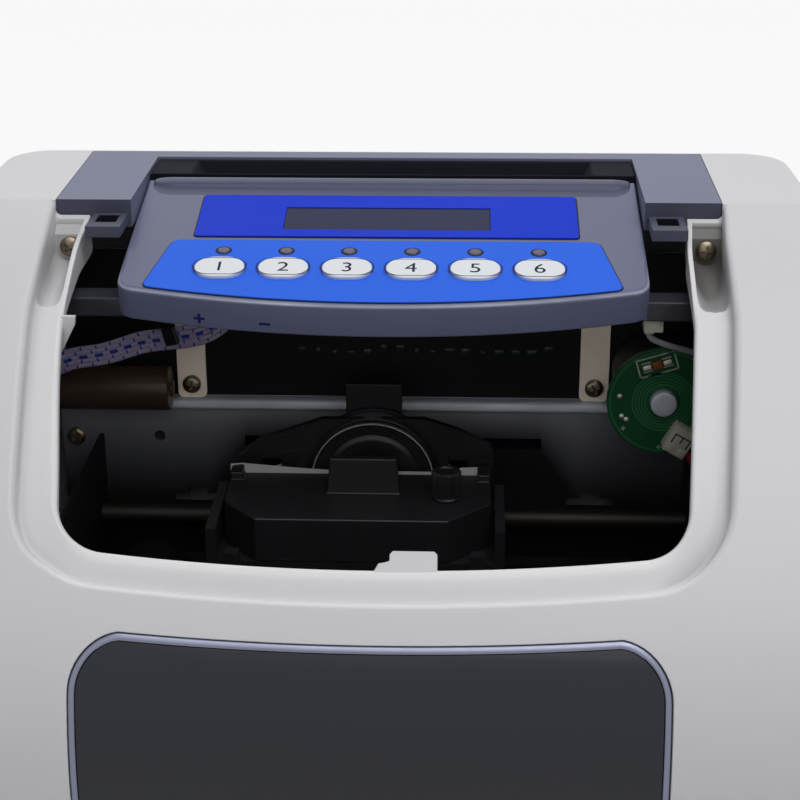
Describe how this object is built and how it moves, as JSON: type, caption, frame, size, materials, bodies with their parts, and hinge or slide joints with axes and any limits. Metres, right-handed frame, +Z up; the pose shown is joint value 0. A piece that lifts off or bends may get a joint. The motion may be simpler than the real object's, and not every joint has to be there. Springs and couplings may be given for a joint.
{
  "type": "time clock",
  "caption": "Punch-card time clock with its service bay open: white hood, grey tilted console with blue keypad, ribbon cartridge and print head on a sliding carriage.",
  "frame": {"origin": "middle of the footprint, on the surface the feet stand on", "axes": "+X across the case to the right seen from the front, -Y towards the front, +Z up"},
  "size_m": [0.236, 0.175, 0.21],
  "materials": {
    "white_abs": "fine moulded texture",
    "grey_abs": "satin moulded grey",
    "dark_abs": "satin moulded dark grey",
    "black_abs": "satin moulded black",
    "smoked_lens": "smoked gloss",
    "trim_chrome": "bright plated",
    "panel_dark_blue": "printed film",
    "panel_blue": "printed film",
    "key_white": "printed key",
    "lcd": "dull display window",
    "light_lens": "unlit lens",
    "board_green": "solder mask",
    "plate_steel": "dark satin",
    "bright_steel": "drawn steel",
    "shaft_steel": "ground",
    "brass": "turned",
    "ribbon": "woven tape",
    "rubber": "dull",
    "connector_white": "moulded",
    "wire_red": "insulation",
    "wire_grey": "insulation",
    "cable_lilac": "flat insulation with blue marks",
    "sleeve_brown": "shrink sleeve"
  },
  "bodies": {
    "case": {"front_shell": "white_abs", "rear_shell": "white_abs", "base_plate": "dark_abs", "rubber_feet": "rubber", "top_cover": "grey_abs", "card_throat": "dark_abs", "display_trim": "trim_chrome", "display_lens": "smoked_lens", "display_board": "board_green", "console_housing": "grey_abs", "display_panel": "panel_dark_blue", "key_panel": "panel_blue", "lcd_window": "lcd", "key_board": "board_green", "status_lights": "light_lens", "setup_board": "board_green", "chassis_plate": "plate_steel", "strap_brackets": "bright_steel", "side_frames": "plate_steel", "guide_shafts": "shaft_steel", "carriage_motor": "plate_steel", "drive_belt": "rubber", "feed_motor": "bright_steel", "motor_board": "board_green", "motor_plug": "connector_white", "motor_leads": "wire_red", "feed_brackets": "plate_steel", "backup_battery": "sleeve_brown", "ribbon_cable": "cable_lilac", "cable_clip": "black_abs", "signal_lead": "wire_grey", "main_board": "board_green", "power_inlet": "black_abs", "pan_screws": "bright_steel"},
    "carriage": {"carriage": "black_abs", "shaft_bushes": "brass", "print_head": "black_abs", "head_ring": "bright_steel", "head_flex": "black_abs", "ribbon_cartridge": "black_abs", "ink_ribbon": "ribbon"},
    "knob": {"take_up_knob": "black_abs"},
    "drive_pulley": {"drive_pulley": "brass"},
    "idler_pulley": {"idler_pulley": "brass"},
    "worm": {"worm": "brass"},
    "feed_shaft": {"feed_shaft": "bright_steel"},
    "clock_key_1": {"clock_key_1": "key_white"},
    "clock_key_2": {"clock_key_2": "key_white"},
    "clock_key_3": {"clock_key_3": "key_white"},
    "clock_key_4": {"clock_key_4": "key_white"},
    "clock_key_5": {"clock_key_5": "key_white"},
    "clock_key_6": {"clock_key_6": "key_white"},
    "setup_key_1": {"setup_key_1": "dark_abs"},
    "setup_key_2": {"setup_key_2": "dark_abs"},
    "setup_key_3": {"setup_key_3": "dark_abs"},
    "setup_key_4": {"setup_key_4": "dark_abs"},
    "setup_key_5": {"setup_key_5": "dark_abs"},
    "setup_key_6": {"setup_key_6": "dark_abs"},
    "setup_key_7": {"setup_key_7": "dark_abs"},
    "setup_key_8": {"setup_key_8": "dark_abs"}
  },
  "joints": [
    {"name": "carriage_slide", "type": "slide", "parent": "case", "child": "carriage", "axis": [1, 0, 0], "range_m": [-0.036, 0.047]},
    {"name": "knob_turn", "type": "hinge", "parent": "carriage", "child": "knob", "pos_m": [0.0173, 0.0131, 0.13], "axis": [0, 0, 1], "continuous": true},
    {"name": "drive_pulley_turn", "type": "hinge", "parent": "case", "child": "drive_pulley", "pos_m": [-0.074, 0.05, 0.084], "axis": [0, 1, 0], "range_deg": [-430, 560]},
    {"name": "idler_pulley_turn", "type": "hinge", "parent": "case", "child": "idler_pulley", "pos_m": [0.074, 0.05, 0.084], "axis": [0, 1, 0], "range_deg": [-430, 560]},
    {"name": "feed_shaft_turn", "type": "hinge", "parent": "case", "child": "feed_shaft", "pos_m": [0, 0.072, 0.1366], "axis": [1, 0, 0], "continuous": true},
    {"name": "worm_turn", "type": "hinge", "parent": "case", "child": "worm", "pos_m": [0.0796, 0.072, 0.1499], "axis": [0, 1, 0], "continuous": true},
    {"name": "clock_key_1_press", "type": "slide", "parent": "case", "child": "clock_key_1", "axis": [0, 0.1959, -0.9806], "range_m": [0, 0.0008], "stiffness_N_per_m": 300},
    {"name": "clock_key_2_press", "type": "slide", "parent": "case", "child": "clock_key_2", "axis": [0, 0.1959, -0.9806], "range_m": [0, 0.0008], "stiffness_N_per_m": 300},
    {"name": "clock_key_3_press", "type": "slide", "parent": "case", "child": "clock_key_3", "axis": [0, 0.1959, -0.9806], "range_m": [0, 0.0008], "stiffness_N_per_m": 300},
    {"name": "clock_key_4_press", "type": "slide", "parent": "case", "child": "clock_key_4", "axis": [0, 0.1959, -0.9806], "range_m": [0, 0.0008], "stiffness_N_per_m": 300},
    {"name": "clock_key_5_press", "type": "slide", "parent": "case", "child": "clock_key_5", "axis": [0, 0.1959, -0.9806], "range_m": [0, 0.0008], "stiffness_N_per_m": 300},
    {"name": "clock_key_6_press", "type": "slide", "parent": "case", "child": "clock_key_6", "axis": [0, 0.1959, -0.9806], "range_m": [0, 0.0008], "stiffness_N_per_m": 300},
    {"name": "setup_key_1_press", "type": "slide", "parent": "case", "child": "setup_key_1", "axis": [0, -0.1959, 0.9806], "range_m": [0, 0.0006], "stiffness_N_per_m": 300},
    {"name": "setup_key_2_press", "type": "slide", "parent": "case", "child": "setup_key_2", "axis": [0, -0.1959, 0.9806], "range_m": [0, 0.0006], "stiffness_N_per_m": 300},
    {"name": "setup_key_3_press", "type": "slide", "parent": "case", "child": "setup_key_3", "axis": [0, -0.1959, 0.9806], "range_m": [0, 0.0006], "stiffness_N_per_m": 300},
    {"name": "setup_key_4_press", "type": "slide", "parent": "case", "child": "setup_key_4", "axis": [0, -0.1959, 0.9806], "range_m": [0, 0.0006], "stiffness_N_per_m": 300},
    {"name": "setup_key_5_press", "type": "slide", "parent": "case", "child": "setup_key_5", "axis": [0, -0.1959, 0.9806], "range_m": [0, 0.0006], "stiffness_N_per_m": 300},
    {"name": "setup_key_6_press", "type": "slide", "parent": "case", "child": "setup_key_6", "axis": [0, -0.1959, 0.9806], "range_m": [0, 0.0006], "stiffness_N_per_m": 300},
    {"name": "setup_key_7_press", "type": "slide", "parent": "case", "child": "setup_key_7", "axis": [0, -0.1959, 0.9806], "range_m": [0, 0.0006], "stiffness_N_per_m": 300},
    {"name": "setup_key_8_press", "type": "slide", "parent": "case", "child": "setup_key_8", "axis": [0, -0.1959, 0.9806], "range_m": [0, 0.0006], "stiffness_N_per_m": 300}
  ],
  "couplings": [
    {"joint": "drive_pulley_turn", "follows": "carriage_slide", "rad_per_m": 200},
    {"joint": "idler_pulley_turn", "follows": "carriage_slide", "rad_per_m": 200},
    {"joint": "worm_turn", "follows": "feed_shaft_turn", "ratio": 24}
  ]
}
